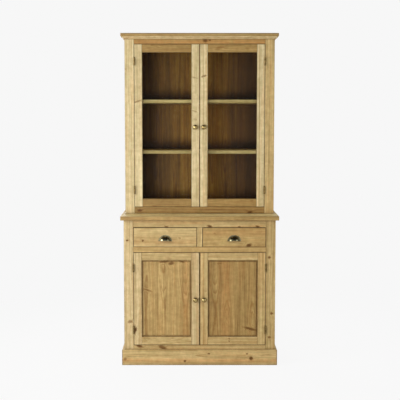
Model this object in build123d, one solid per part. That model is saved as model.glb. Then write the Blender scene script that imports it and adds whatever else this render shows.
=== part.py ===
from build123d import *
from math import asin, degrees
import os

# Pine china cabinet: a glazed hutch stands on a base with two drawers and two panelled doors.
# Millimetres, +Z up, the front faces -Y, and the origin is under the middle of the whole object.

# Main sizes
overall_height = 2000.0
base_height = 905.0
carcass_width = 910.0
base_depth = 440.0
hutch_setback = 140.0

# Boards of both carcasses
side_thickness = 18.0
frame_thickness = 22.0
frame_stile_width = 57.0
floor_thickness = 18.0
housing_depth = 6.0
back_thickness = 8.0
back_rebate = 10.0
worktop_thickness = 25.0
worktop_overhang = 19.0
hutch_top_thickness = 18.0
hutch_top_overhang = 23.0
top_edge_radius = 2.0

# Front frames, from the floor up
plinth_height = 94.0
plinth_thickness = 13.0
plinth_chamfer = 3.0
base_bottom_rail_height = 70.0
base_floor_height = 120.0
base_back_low_edge = 60.0
middle_rail_height = 33.0
drawer_opening_height = 118.0
top_rail_height = 43.0
muntin_width = 32.0
hutch_bottom_rail_height = 40.0
frieze_height = 45.0

# Frame joints
tenon_length = 25.0
tenon_thickness = 8.0
tenon_setback = 7.0
tenon_shoulder = 8.0
muntin_tenon_length = 12.0
muntin_tenon_shoulder = 6.0

# Cornice moulding under the top board
cornice_height = 17.0
cornice_reach = 20.0
cornice_toe = 3.5
cornice_quirk = 2.0
cornice_swell = 2.2

# Doors
door_thickness = 20.0
door_gap = 2.0
hutch_meeting_gap = 4.0
base_meeting_gap = 5.0
door_stile_width = 47.0
hutch_door_rail_width = 49.0
base_door_top_rail_width = 46.0
base_door_bottom_rail_width = 49.0
door_tenon_length = 30.0
door_tenon_thickness = 6.0
door_tenon_setback = 4.0
door_tenon_shoulder = 10.0

# Glazing
glass_thickness = 3.0
glass_rebate_width = 8.0
glass_rebate_depth = 10.0
glass_edge_gap = 1.0
bead_chamfer = 4.0

# Door panels, held by a tongue, with a raised field behind a shadow gap
panel_groove_depth = 8.0
panel_groove_setback = 10.5
panel_tongue_thickness = 6.0
panel_edge_gap = 1.0
panel_field_margin = 8.0
panel_field_rise = 6.0

# Shelves
hutch_shelf_thickness = 21.0
hutch_shelf_rises = (657.0, 347.0)
shelf_front_gap = 5.0
shelf_side_gap = 1.0
base_shelf_rise = 285.0
base_shelf_thickness = 18.0
base_shelf_setback = 40.0
peg_radius = 2.5
peg_length = 20.0
peg_hole_depth = 9.0
peg_hole_pitch = 32.0
peg_inset = 40.0

# Drawers
drawer_top_gap = 3.0
drawer_side_gap = 2.5
drawer_bottom_gap = 1.0
drawer_front_thickness = 20.0
drawer_length = 390.0
drawer_side_thickness = 12.0
drawer_side_height = 112.0
drawer_back_drop = 6.0
drawer_bottom_height = 10.0
drawer_bottom_thickness = 6.0
drawer_groove_depth = 5.0
lapped_tail_length = 13.0
tail_count = 3
tail_root_share = 0.52
tail_slope = 1 / 7
tail_end_margin = 3.0

# Drawer runners and kickers
runner_thickness = 24.0
runner_bearing = 18.0
guide_height = 30.0
kicker_thickness = 20.0

# Butt hinges
hinge_length = 50.0
hinge_leaf_thickness = 1.6
hinge_leaf_reach = 18.0
hinge_leaf_gap = 0.3
knuckle_radius = 4.0
knuckle_count = 5
knuckle_end_gap = 0.2
knuckle_clearance = 0.3
hinge_pin_radius = 1.5
hinge_pin_clearance = 0.1
hinge_pin_head_radius = 2.6
hinge_pin_head_height = 1.0
hutch_hinge_inset = 103.0
base_hinge_inset = 92.0

# Turned knobs
knob_projection = 27.0
knob_head_radius = 14.5
knob_rose_radius = 11.0
knob_neck_radius = 5.0
knob_rose_height = 3.0
knob_rim_height = 19.0
knob_rim_lip = 2.5
knob_neck_hollow = 3.0
knob_spindle_radius = 2.0
knob_spindle_length = 16.0
knob_hole_clearance = 0.1
hutch_knob_rise = 487.0
base_knob_rise = 277.0

# Cup pulls, each a shell cut from a ball that sits partly behind the drawer front
pull_ball_radius = 40.0
pull_ball_sink = 16.0
pull_wall = 1.8
pull_rim_offset = 5.0
pull_flange_width = 4.6
pull_flange_thickness = 2.0
pull_rim_arch = 4.0
pull_arch_radius = 150.0
pull_drop = 6.0

# Magnetic catches
catch_width = 40.0
catch_height = 36.0
catch_depth = 14.0
catch_lap = 18.0
catch_offset = 60.0
catch_nose_width = 26.0
catch_nose_height = 10.0
catch_door_gap = 0.3

# Places worked out from the sizes above
half_width = carcass_width / 2
half_inside = half_width - side_thickness
half_opening = half_width - frame_stile_width
foremost_reach = max(worktop_overhang, knob_projection)
total_depth = base_depth + foremost_reach
base_face = foremost_reach - total_depth / 2
back_plane = total_depth / 2
hutch_face = base_face + hutch_setback
back_front = back_plane - back_thickness

worktop_underside = base_height - worktop_thickness
top_rail_low = worktop_underside - top_rail_height
drawer_floor = top_rail_low - drawer_opening_height
middle_rail_low = drawer_floor - middle_rail_height
hutch_carcass_top = overall_height - hutch_top_thickness
frieze_low = hutch_carcass_top - frieze_height
hutch_floor_height = base_height + hutch_bottom_rail_height
hutch_shelf_tops = [hutch_floor_height + rise for rise in hutch_shelf_rises]
base_shelf_top = base_floor_height + base_shelf_rise
hutch_knob_height = hutch_floor_height + door_gap + hutch_knob_rise
base_knob_height = base_floor_height + door_gap + base_knob_rise

hinge_axis_offset = knuckle_radius + knuckle_clearance


def board(x_low, x_high, y_low, y_high, z_low, z_high):
    """A rectangular board between two opposite corners."""
    centre = Pos((x_low + x_high) / 2, (y_low + y_high) / 2, (z_low + z_high) / 2)
    return centre * Box(x_high - x_low, y_high - y_low, z_high - z_low)


def mirrored(shape):
    """The same piece on the other side of the cabinet."""
    return mirror(shape, about=Plane.YZ)


def group(pieces):
    """Separate solids that share one node."""
    return Compound(children=list(pieces))


# Front frames

def frame_rail(face, z_low, z_high):
    """A rail between the two stiles, with a tenon at each end."""
    body = board(-half_opening, half_opening, face, face + frame_thickness, z_low, z_high)
    reach = half_opening + tenon_length
    tenon_face = face + tenon_setback
    tenon = board(-reach, reach, tenon_face, tenon_face + tenon_thickness,
                  z_low + tenon_shoulder, z_high - tenon_shoulder)
    return body + tenon


def muntin():
    """The short upright between the drawers, tenoned into the rails above and below."""
    half = muntin_width / 2
    body = board(-half, half, base_face, base_face + frame_thickness, drawer_floor, top_rail_low)
    tenon_half = half - muntin_tenon_shoulder
    tenon_face = base_face + tenon_setback
    tenon = board(-tenon_half, tenon_half, tenon_face, tenon_face + tenon_thickness,
                  drawer_floor - muntin_tenon_length, top_rail_low + muntin_tenon_length)
    return body + tenon


def left_frame_stile(face, z_low, z_high, rails, hinge_heights):
    """The left upright of a front frame, mortised for its rails and cut for its hinges."""
    stile = board(-half_width, -half_opening, face, face + frame_thickness, z_low, z_high)
    for rail in rails:
        stile -= rail
    for height in hinge_heights:
        stile -= hinge_recess(face, height, -half_opening - leaf_let_in, -half_opening)
    return stile


# Carcasses

def left_side(face, z_low, z_high, housed_boards):
    """A side board with a rebate for the back and housings for the boards it carries."""
    side = board(-half_width, -half_inside, face + frame_thickness, back_plane, z_low, z_high)
    side -= board(-half_inside - back_rebate, -half_inside, back_front, back_plane, z_low, z_high)
    for housed in housed_boards:
        side -= housed
    return side


def housed_board(face, setback, top, thickness):
    """A floor or fixed shelf that runs into housings in both sides."""
    reach = half_inside + housing_depth
    return board(-reach, reach, face + frame_thickness + setback, back_front, top - thickness, top)


def back_panel(z_low, z_high):
    """A back panel that lies in the rebates of the two sides."""
    reach = half_inside + back_rebate
    return board(-reach, reach, back_front, back_plane, z_low, z_high)


def overhanging_top(face, overhang, z_low, z_high):
    """A top board that overhangs the front and both sides, with rounded edges there."""
    reach = half_width + overhang
    top = board(-reach, reach, face - overhang, back_plane, z_low, z_high)
    square_edges = top.faces().sort_by(Axis.Y)[-1].edges()
    shown_edges = [edge for edge in top.edges() if edge not in square_edges]
    return fillet(shown_edges, top_edge_radius)


def mitred_trim(profile, face, reach, z_low, z_high):
    """A front strip and two side returns of one profile, mitred at the front corners."""
    outer = half_width + reach
    front_plane = Plane(origin=(outer, face, 0), x_dir=(0, -1, 0), z_dir=(-1, 0, 0))
    side_plane = Plane(origin=(-half_width, face - reach, 0), x_dir=(-1, 0, 0), z_dir=(0, 1, 0))
    front_strip = extrude(front_plane * profile, amount=2 * outer)
    side_strip = extrude(side_plane * profile, amount=back_plane - face + reach)
    front_wedge = Polygon((-outer, face - reach), (outer, face - reach),
                          (half_width, face), (-half_width, face), align=None)
    side_wedge = Polygon((-outer, face - reach), (-half_width, face),
                         (-half_width, back_plane), (-outer, back_plane), align=None)
    height = z_high - z_low
    front = front_strip & extrude(Pos(0, 0, z_low) * front_wedge, amount=height)
    left = side_strip & extrude(Pos(0, 0, z_low) * side_wedge, amount=height)
    return group([front, left, mirrored(left)])


def plinth():
    """Skirting boards around the foot, with a chamfer along the top."""
    edge = plinth_thickness - plinth_chamfer
    profile = Polygon((0, 0), (plinth_thickness, 0), (plinth_thickness, plinth_height - plinth_chamfer),
                      (edge, plinth_height), (0, plinth_height), align=None)
    return mitred_trim(profile, base_face, plinth_thickness, 0, plinth_height)


def cornice():
    """An ogee moulding in the angle under the top board."""
    top = hutch_carcass_top
    low = top - cornice_height
    start = (cornice_reach, top - cornice_quirk)
    end = (cornice_toe, low + cornice_quirk)
    middle = ((start[0] + end[0]) / 2, (start[1] + end[1]) / 2)
    outline = Polyline((cornice_toe, low + cornice_quirk), (cornice_toe, low), (0, low), (0, top),
                       (cornice_reach, top), start)
    swell = SagittaArc(start, middle, cornice_swell)
    hollow = SagittaArc(middle, end, -cornice_swell)
    profile = make_face(outline + swell + hollow)
    return mitred_trim(profile, hutch_face, cornice_reach, low, top)


# Shelves of the hutch

def hutch_shelf(top):
    """A loose shelf between the sides of the hutch."""
    reach = half_inside - shelf_side_gap
    front = hutch_face + frame_thickness + shelf_front_gap
    return board(-reach, reach, front, back_front, top - hutch_shelf_thickness, top)


def peg_places():
    """Depth and height of the pegs under each shelf."""
    front = hutch_face + frame_thickness + shelf_front_gap + peg_inset
    rear = back_front - peg_inset
    for top in hutch_shelf_tops:
        for depth in (front, rear):
            yield depth, top - hutch_shelf_thickness - peg_radius


def left_peg(depth, height):
    """A peg half in the side board and half under the shelf."""
    start = -half_inside - peg_hole_depth
    return Pos(start, depth, height) * Rot(0, 90, 0) * Cylinder(
        peg_radius, peg_length, align=(Align.CENTER, Align.CENTER, Align.MIN))


def left_peg_holes():
    """Three holes at each peg, so that a shelf can move up or down one step."""
    holes = []
    for depth, height in peg_places():
        for step in (-1, 0, 1):
            place = Pos(-half_inside - peg_hole_depth, depth, height + step * peg_hole_pitch)
            holes.append(place * Rot(0, 90, 0) * Cylinder(
                peg_radius, peg_hole_depth, align=(Align.CENTER, Align.CENTER, Align.MIN)))
    return holes


# Butt hinges

leaf_let_in = hinge_leaf_thickness + (hinge_leaf_gap - door_gap) / 2
hinge_axis_x = -half_opening + door_gap / 2


def hinge_recess(face, height, x_low, x_high):
    """The shallow seat of a hinge leaf in the edge of a stile."""
    return board(x_low, x_high, face, face + hinge_leaf_reach,
                 height - hinge_length / 2, height + hinge_length / 2)


def knuckle(face, height, index, radius, end_gap):
    """One knuckle of a hinge barrel, or the room around it."""
    pitch = hinge_length / knuckle_count
    z_low = height - hinge_length / 2 + index * pitch + end_gap / 2
    return Pos(hinge_axis_x, face - hinge_axis_offset, z_low) * Cylinder(
        radius, pitch - end_gap, align=(Align.CENTER, Align.CENTER, Align.MIN))


def hinge_leaf(face, height, x_low, x_high, own, bore_radius):
    """A let-in leaf with every second knuckle of the barrel."""
    axis_y = face - hinge_axis_offset
    leaf = board(x_low, x_high, axis_y, face + hinge_leaf_reach,
                 height - hinge_length / 2, height + hinge_length / 2)
    for index in range(knuckle_count):
        if index % 2 == own:
            leaf += knuckle(face, height, index, knuckle_radius, knuckle_end_gap)
        else:
            leaf -= knuckle(face, height, index, knuckle_radius + knuckle_clearance, 0)
    bore = Pos(hinge_axis_x, axis_y, height) * Cylinder(bore_radius, hinge_length)
    return leaf - bore


def left_frame_leaf(face, height):
    """The leaf on the frame stile, with the outer knuckles."""
    inner = hinge_axis_x - hinge_leaf_gap / 2
    return hinge_leaf(face, height, inner - hinge_leaf_thickness, inner, 0, hinge_pin_radius)


def left_door_leaf(face, height):
    """The leaf on the door, whose knuckles turn on the pin."""
    inner = hinge_axis_x + hinge_leaf_gap / 2
    bore_radius = hinge_pin_radius + hinge_pin_clearance
    return hinge_leaf(face, height, inner, inner + hinge_leaf_thickness, 1, bore_radius)


def left_hinge_pin(face, height):
    """A headed pin, fixed in the outer knuckles."""
    place = Pos(hinge_axis_x, face - hinge_axis_offset, height - hinge_length / 2)
    base_align = (Align.CENTER, Align.CENTER, Align.MIN)
    shank = Cylinder(hinge_pin_radius, hinge_length, align=base_align)
    head_low = hinge_length - knuckle_end_gap / 2
    head = Pos(0, 0, head_low) * Cylinder(hinge_pin_head_radius, hinge_pin_head_height, align=base_align)
    return place * (shank + head)


# Knobs and pulls

def knob(x, face, height):
    """A turned knob on a round rose, with its spindle in the door stile."""
    crown_rise = knob_projection - knob_rim_height
    crown_radius = (knob_head_radius ** 2 + crown_rise ** 2) / (2 * crown_rise)
    crown_middle = knob_projection - crown_radius
    crown_start = degrees(asin((knob_rim_height - crown_middle) / crown_radius))
    neck_start = (knob_neck_radius, knob_rose_height)
    neck_end = (knob_head_radius - knob_rim_lip, knob_rim_height - knob_rim_lip)
    foot = Polyline((0, -knob_spindle_length), (knob_spindle_radius, -knob_spindle_length),
                    (knob_spindle_radius, 0), (knob_rose_radius, 0),
                    (knob_rose_radius, knob_rose_height / 2), neck_start)
    flare = SagittaArc(neck_start, neck_end, -knob_neck_hollow)
    under = Line(neck_end, (knob_head_radius, knob_rim_height))
    crown = CenterArc((0, crown_middle), crown_radius, crown_start, 90 - crown_start)
    axis_line = Line((0, knob_projection), (0, -knob_spindle_length))
    profile = make_face(foot + flare + under + crown + axis_line)
    return Pos(x, face, height) * Rot(180, 0, 0) * revolve(profile, axis=Axis.Y)


def knob_hole(x, face, height):
    """The spindle's hole in a door stile."""
    radius = knob_spindle_radius + knob_hole_clearance
    return Pos(x, face, height) * Rot(-90, 0, 0) * Cylinder(
        radius, knob_spindle_length, align=(Align.CENTER, Align.CENTER, Align.MIN))


def cup_pull(x, height):
    """A hollow cup with a flange round its edge, open below for the fingers."""
    ball_centre = Pos(0, pull_ball_sink, -pull_rim_offset)
    inner_radius = pull_ball_radius - pull_wall
    mouth_radius = (inner_radius ** 2 - pull_ball_sink ** 2) ** 0.5
    edge_radius = (pull_ball_radius ** 2 - pull_ball_sink ** 2) ** 0.5
    reach = 2 * pull_ball_radius
    front_half = board(-reach, reach, -reach, 0, 0, reach)
    flange_space = board(-reach, reach, -pull_flange_thickness, 0, 0, reach)
    cup = ball_centre * (Sphere(pull_ball_radius) - Sphere(inner_radius)) & front_half
    flat_disc = Cylinder(edge_radius + pull_flange_width, reach) - Cylinder(mouth_radius, reach)
    flange = Pos(0, 0, -pull_rim_offset) * Rot(90, 0, 0) * flat_disc & flange_space
    arch = Pos(0, 0, pull_rim_arch - pull_arch_radius) * Rot(90, 0, 0) * Cylinder(pull_arch_radius, 2 * reach)
    top = edge_radius + pull_flange_width - pull_rim_offset
    return Pos(x, base_face, height - top / 2) * (cup + flange - arch)


# Doors

def door_edges(z_low, z_high, meeting_gap):
    """Outer edges of the left door in an opening: x low, x high, z low, z high."""
    return -half_opening + door_gap, -meeting_gap / 2, z_low + door_gap, z_high - door_gap


def knob_x_of(inner_right):
    """The middle of the stile that stands right of a door's glass or panel."""
    return inner_right + door_stile_width / 2


def left_door(face, opening, top_width, bottom_width, hinge_heights, knob_height, rebate):
    """The stiles, rails and inner edges of a left door; rebate cuts room for glass or panel."""
    x_low, x_high, z_low, z_high = door_edges(*opening)
    inner_left = x_low + door_stile_width
    inner_right = x_high - door_stile_width
    inner_low = z_low + bottom_width
    inner_high = z_high - top_width
    inside = (inner_left, inner_right, inner_low, inner_high)
    room = rebate(face, inside)
    rails = []
    for low, high in ((z_low, inner_low), (inner_high, z_high)):
        body = board(inner_left, inner_right, face, face + door_thickness, low, high)
        tenon_face = face + door_tenon_setback
        tenon = board(inner_left - door_tenon_length, inner_right + door_tenon_length,
                      tenon_face, tenon_face + door_tenon_thickness,
                      low + door_tenon_shoulder, high - door_tenon_shoulder)
        rails.append(body + tenon - room)
    stiles = []
    for left, right in ((x_low, inner_left), (inner_right, x_high)):
        stile = board(left, right, face, face + door_thickness, z_low, z_high) - room
        for rail in rails:
            stile -= rail
        stiles.append(stile)
    for height in hinge_heights:
        stiles[0] -= hinge_recess(face, height, x_low, x_low + leaf_let_in)
    stiles[1] -= knob_hole(knob_x_of(inner_right), face, knob_height)
    return stiles, rails, inside


def glass_rebate(face, inside):
    """The rebate behind the inner edge of a glazed door."""
    left, right, low, high = inside
    width = glass_rebate_width
    depth = door_thickness - glass_rebate_depth
    return board(left - width, right + width, face + depth, face + door_thickness,
                 low - width, high + width)


def panel_groove(face, inside):
    """The groove round the inner edge of a panelled door."""
    left, right, low, high = inside
    depth = panel_groove_depth
    y_low = face + panel_groove_setback
    return board(left - depth, right + depth, y_low, y_low + panel_tongue_thickness,
                 low - depth, high + depth)


def glass_pane(face, inside):
    """A pane that lies in the rebate with a little room at its edges."""
    left, right, low, high = inside
    grip = glass_rebate_width - glass_edge_gap
    y_low = face + door_thickness - glass_rebate_depth
    return board(left - grip, right + grip, y_low, y_low + glass_thickness, low - grip, high + grip)


def glass_beads(face, inside):
    """Four mitred strips, chamfered on the side of the shelves, that hold the pane in its rebate."""
    left, right, low, high = inside
    width = glass_rebate_width
    depth = glass_rebate_depth - glass_thickness
    y_low = face + door_thickness - depth
    profile = Polygon((0, 0), (width, 0), (width, depth), (bead_chamfer, depth),
                      (0, depth - bead_chamfer), align=None)
    inner = [(left, low), (right, low), (right, high), (left, high)]
    outer = [(left - width, low - width), (right + width, low - width),
             (right + width, high + width), (left - width, high + width)]
    strips = []
    for index, (start, end) in enumerate(zip(outer, outer[1:] + outer[:1])):
        along = Vector(end[0] - start[0], 0, end[1] - start[1])
        outward = Vector(along.Z, 0, -along.X).normalized()
        edge = inner[index]
        origin = Vector(edge[0], y_low, edge[1]) - along.normalized() * width
        strip = extrude(Plane(origin=origin, x_dir=outward, z_dir=along) * profile, amount=along.length)
        corners = (start, end, inner[(index + 1) % 4], edge)
        wedge = Plane.XZ * Polygon(*corners, align=None)
        strips.append(strip & extrude(wedge, amount=2 * total_depth, both=True))
    return strips


def door_panel(face, inside):
    """A panel with a tongue in the groove and a raised field."""
    left, right, low, high = inside
    grip = panel_groove_depth - panel_edge_gap
    margin = panel_field_margin
    y_low = face + panel_groove_setback
    tongue = board(left - grip, right + grip, y_low, y_low + panel_tongue_thickness,
                   low - grip, high + grip)
    field = board(left + margin, right - margin, y_low - panel_field_rise, y_low,
                  low + margin, high - margin)
    return tongue + field


# Drawers

def dovetails(x_low, x_high, root, tip, z_low, z_high):
    """Tails that widen from their root to their tip, in a row up the end of a board."""
    pitch = (z_high - z_low) / tail_count
    root_half = pitch * tail_root_share / 2
    tip_half = root_half + abs(tip - root) * tail_slope
    tails = []
    for index in range(tail_count):
        middle = z_low + (index + 0.5) * pitch
        outline = Plane.YZ * Polygon((root, middle - root_half), (tip, middle - tip_half),
                                     (tip, middle + tip_half), (root, middle + root_half), align=None)
        tails.append(extrude(Pos(x_low, 0, 0) * outline, amount=x_high - x_low, dir=(1, 0, 0)))
    return tails


def left_drawer():
    """The five wooden pieces of the left drawer, joined with lapped and through dovetails."""
    x_low = -half_opening + drawer_side_gap
    x_high = -muntin_width / 2 - drawer_side_gap
    z_low = drawer_floor + drawer_bottom_gap
    z_high = top_rail_low - drawer_top_gap
    front_back = base_face + drawer_front_thickness
    end = base_face + drawer_length
    side_top = drawer_floor + drawer_side_height
    bottom_low = drawer_floor + drawer_bottom_height
    bottom_high = bottom_low + drawer_bottom_thickness
    back_low = bottom_high
    back_high = side_top - drawer_back_drop
    inner_low = x_low + drawer_side_thickness
    inner_high = x_high - drawer_side_thickness
    back_face = end - drawer_side_thickness

    wide_part = board(inner_low - drawer_groove_depth, inner_high + drawer_groove_depth,
                      front_back, end, bottom_low, bottom_high)
    front_tongue = board(inner_low, inner_high, front_back - drawer_groove_depth, front_back,
                         bottom_low, bottom_high)
    bottom = wide_part + front_tongue

    back = board(x_low, x_high, back_face, end, back_low, back_high)
    sides = []
    for low, high in ((x_low, inner_low), (inner_high, x_high)):
        for tail in dovetails(low, high, back_face, end, back_low, back_high):
            back -= tail
        side = board(low, high, front_back, end, drawer_floor, side_top)
        tip = front_back - lapped_tail_length
        for tail in dovetails(low, high, front_back, tip, z_low + tail_end_margin, side_top - tail_end_margin):
            side += tail
        sides.append(side)
    sides = [side - back - bottom for side in sides]
    front = board(x_low, x_high, base_face, front_back, z_low, z_high) - bottom
    for side in sides:
        front -= side
    return front, sides, back, bottom, (x_low + x_high) / 2


def drawer_runners():
    """Three rebated runners that carry and guide the drawers, and three kickers above them."""
    front = base_face + frame_thickness
    runner_low = drawer_floor - runner_thickness
    guide_high = drawer_floor + guide_height
    kicker_high = top_rail_low + kicker_thickness
    edge = half_opening - runner_bearing
    half = muntin_width / 2
    left_runner = (board(-half_inside, -edge, front, back_front, runner_low, drawer_floor)
                   + board(-half_inside, -half_opening, front, back_front, drawer_floor, guide_high))
    left_kicker = board(-half_inside, -edge, front, back_front, top_rail_low, kicker_high)
    inner = half + runner_bearing
    centre_runner = (board(-inner, inner, front, back_front, runner_low, drawer_floor)
                     + board(-half, half, front, back_front, drawer_floor, guide_high))
    centre_kicker = board(-inner, inner, front, back_front, top_rail_low, kicker_high)
    return group([left_runner, mirrored(left_runner), centre_runner,
                  left_kicker, mirrored(left_kicker), centre_kicker])


def left_catch(face, rail_low):
    """A magnetic catch behind a rail, whose nose stops just short of the closed door."""
    rear = face + frame_thickness
    half = catch_width / 2
    nose_half = catch_nose_width / 2
    body_low = rail_low + catch_lap - catch_height
    nose_middle = (body_low + rail_low) / 2
    body = board(-catch_offset - half, -catch_offset + half, rear, rear + catch_depth,
                 body_low, rail_low + catch_lap)
    nose = board(-catch_offset - nose_half, -catch_offset + nose_half,
                 face + door_thickness + catch_door_gap, rear,
                 nose_middle - catch_nose_height / 2, nose_middle + catch_nose_height / 2)
    return body + nose


# Assembly

nodes = {}


def add_pair(name, left_pieces):
    """Write a left piece, or group of pieces, and its mirror image."""
    left_pieces = list(left_pieces)
    right_pieces = [mirrored(piece) for piece in left_pieces]
    for side, pieces in (("left", left_pieces), ("right", right_pieces)):
        nodes[name.format(side)] = pieces[0] if len(pieces) == 1 else group(pieces)


def hinge_heights_of(opening, inset):
    """Heights of the lower and upper hinge of a door."""
    _, _, low, high = door_edges(*opening)
    return low + inset, high - inset


base_opening = (base_floor_height, middle_rail_low, base_meeting_gap)
hutch_opening = (hutch_floor_height, frieze_low, hutch_meeting_gap)
base_hinges = hinge_heights_of(base_opening, base_hinge_inset)
hutch_hinges = hinge_heights_of(hutch_opening, hutch_hinge_inset)
pull_height = drawer_floor + drawer_opening_height / 2 - pull_drop

# Base carcass
muntin_piece = muntin()
base_rails = {
    "base_top_rail": frame_rail(base_face, top_rail_low, worktop_underside) - muntin_piece,
    "base_middle_rail": frame_rail(base_face, middle_rail_low, drawer_floor) - muntin_piece,
    "base_bottom_rail": frame_rail(base_face, base_floor_height - base_bottom_rail_height, base_floor_height),
}
nodes.update(base_rails)
nodes["drawer_muntin"] = muntin_piece
add_pair("base_stile_{}", [left_frame_stile(base_face, 0, worktop_underside, base_rails.values(), base_hinges)])
base_floor = housed_board(base_face, 0, base_floor_height, floor_thickness)
base_shelf = housed_board(base_face, base_shelf_setback, base_shelf_top, base_shelf_thickness)
add_pair("base_side_{}", [left_side(base_face, 0, worktop_underside, [base_floor, base_shelf])])
nodes["base_floor"] = base_floor
nodes["base_shelf"] = base_shelf
nodes["base_back"] = back_panel(base_back_low_edge, worktop_underside)
nodes["drawer_runners"] = drawer_runners()
nodes["worktop"] = overhanging_top(base_face, worktop_overhang, worktop_underside, base_height)
nodes["plinth"] = plinth()

# Hutch carcass
hutch_rails = {
    "hutch_bottom_rail": frame_rail(hutch_face, base_height, hutch_floor_height),
    "hutch_frieze_rail": frame_rail(hutch_face, frieze_low, hutch_carcass_top),
}
nodes.update(hutch_rails)
add_pair("hutch_stile_{}", [left_frame_stile(hutch_face, base_height, hutch_carcass_top,
                                             hutch_rails.values(), hutch_hinges)])
hutch_floor = housed_board(hutch_face, 0, hutch_floor_height, floor_thickness)
add_pair("hutch_side_{}", [left_side(hutch_face, base_height, hutch_carcass_top,
                                     [hutch_floor] + left_peg_holes())])
nodes["hutch_floor"] = hutch_floor
nodes["hutch_back"] = back_panel(base_height, hutch_carcass_top)
nodes["hutch_top"] = overhanging_top(hutch_face, hutch_top_overhang, hutch_carcass_top, overall_height)
nodes["cornice"] = cornice()
nodes["hutch_shelves"] = group([hutch_shelf(top) for top in hutch_shelf_tops])
pegs = [left_peg(depth, height) for depth, height in peg_places()]
nodes["shelf_pegs"] = group(pegs + [mirrored(peg) for peg in pegs])

# Fixed hinge leaves with their pins, and the catches
fixed_leaves = []
for face, heights in ((base_face, base_hinges), (hutch_face, hutch_hinges)):
    for height in heights:
        for piece in (left_frame_leaf(face, height), left_hinge_pin(face, height)):
            fixed_leaves += [piece, mirrored(piece)]
nodes["hinge_frame_leaves"] = group(fixed_leaves)
catches = [left_catch(base_face, middle_rail_low), left_catch(hutch_face, frieze_low)]
nodes["door_catches"] = group(catches + [mirrored(catch) for catch in catches])

# Hutch doors
stiles, rails, inside = left_door(hutch_face, hutch_opening, hutch_door_rail_width, hutch_door_rail_width,
                                  hutch_hinges, hutch_knob_height, glass_rebate)
add_pair("hutch_door_{}_stiles", stiles)
add_pair("hutch_door_{}_rails", rails)
add_pair("hutch_door_{}_glass", [glass_pane(hutch_face, inside)])
add_pair("hutch_door_{}_beads", glass_beads(hutch_face, inside))
add_pair("hutch_door_{}_knob", [knob(knob_x_of(inside[1]), hutch_face, hutch_knob_height)])
add_pair("hutch_door_{}_hinge_leaves", [left_door_leaf(hutch_face, height) for height in hutch_hinges])

# Base doors
stiles, rails, inside = left_door(base_face, base_opening, base_door_top_rail_width,
                                  base_door_bottom_rail_width, base_hinges, base_knob_height, panel_groove)
add_pair("base_door_{}_stiles", stiles)
add_pair("base_door_{}_rails", rails)
add_pair("base_door_{}_panel", [door_panel(base_face, inside)])
add_pair("base_door_{}_knob", [knob(knob_x_of(inside[1]), base_face, base_knob_height)])
add_pair("base_door_{}_hinge_leaves", [left_door_leaf(base_face, height) for height in base_hinges])

# Drawers
front, sides, back, bottom, drawer_middle = left_drawer()
add_pair("drawer_{}_front", [front])
add_pair("drawer_{}_sides", sides)
add_pair("drawer_{}_back", [back])
add_pair("drawer_{}_bottom", [bottom])
add_pair("drawer_{}_cup_pull", [cup_pull(drawer_middle, pull_height)])

os.makedirs("parts", exist_ok=True)
for name, shape in nodes.items():
    export_step(shape, f"parts/{name}.step")
print(len(nodes), "nodes")
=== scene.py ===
"""The looks of a waxed pine china cabinet: timber, aged brass, pewter, glass, screws, studio."""

from functools import partial
from math import pi, radians, sin

import bmesh
import bpy
from mathutils import Matrix, Vector


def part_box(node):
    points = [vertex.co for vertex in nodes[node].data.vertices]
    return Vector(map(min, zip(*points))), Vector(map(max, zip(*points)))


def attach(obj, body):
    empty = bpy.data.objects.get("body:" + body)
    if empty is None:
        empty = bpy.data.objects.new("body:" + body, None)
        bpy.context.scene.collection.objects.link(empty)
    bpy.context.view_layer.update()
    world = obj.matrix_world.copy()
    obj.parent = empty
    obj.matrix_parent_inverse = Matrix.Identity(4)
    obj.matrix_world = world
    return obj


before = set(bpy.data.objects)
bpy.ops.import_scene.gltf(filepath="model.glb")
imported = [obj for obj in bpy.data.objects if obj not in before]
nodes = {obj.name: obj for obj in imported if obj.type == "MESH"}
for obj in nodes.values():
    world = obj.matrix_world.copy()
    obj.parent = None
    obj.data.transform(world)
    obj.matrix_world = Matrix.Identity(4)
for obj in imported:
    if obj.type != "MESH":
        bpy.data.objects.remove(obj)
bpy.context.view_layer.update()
X, Y, Z = range(3)
SIDES = (("left", -1), ("right", 1))
BASE_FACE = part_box("base_top_rail")[0][Y]
HUTCH_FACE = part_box("hutch_frieze_rail")[0][Y]
DOOR_THICKNESS = 0.020
DRAWER_FRONT_THICKNESS = 0.020


def linear(code):
    """The linear colour of an sRGB hex value such as d9c08e."""
    channels = []
    for start in (0, 2, 4):
        share = int(code[start:start + 2], 16) / 255
        channels.append(share / 12.92 if share <= 0.04045 else ((share + 0.055) / 1.055) ** 2.4)
    return (*channels, 1.0)


def shade(colour, factors):
    """A colour with each of its channels multiplied."""
    return (*[channel * factor for channel, factor in zip(colour, factors)], 1.0)


def add(tree, kind, inputs=(), **settings):
    """Adds a shader node with its settings; an input is a value, a socket or a node to link from."""
    made = tree.nodes.new("ShaderNode" + kind)
    for name, value in settings.items():
        setattr(made, name, value)
    for name, value in dict(inputs).items():
        if isinstance(value, bpy.types.Node):
            value = value.outputs[0]
        if isinstance(value, bpy.types.NodeSocket):
            tree.links.new(value, made.inputs[name])
        else:
            made.inputs[name].default_value = value
    return made


def new_material(name):
    """An empty material, and the way to add nodes to it."""
    material = bpy.data.materials.new(name)
    material.use_nodes = True
    material.node_tree.nodes.clear()
    return material, partial(add, material.node_tree)


def blend(put, share, first, second):
    """Two colours mixed by a share of the second."""
    return put("Mix", {0: share, 6: first, 7: second}, data_type="RGBA").outputs[2]


def distance_from(put, value, middle):
    """How far a value lies from a middle, on either side."""
    offset = put("Math", {0: value, 1: middle}, operation="SUBTRACT")
    return put("Math", {0: offset}, operation="ABSOLUTE")


# Timber

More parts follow.
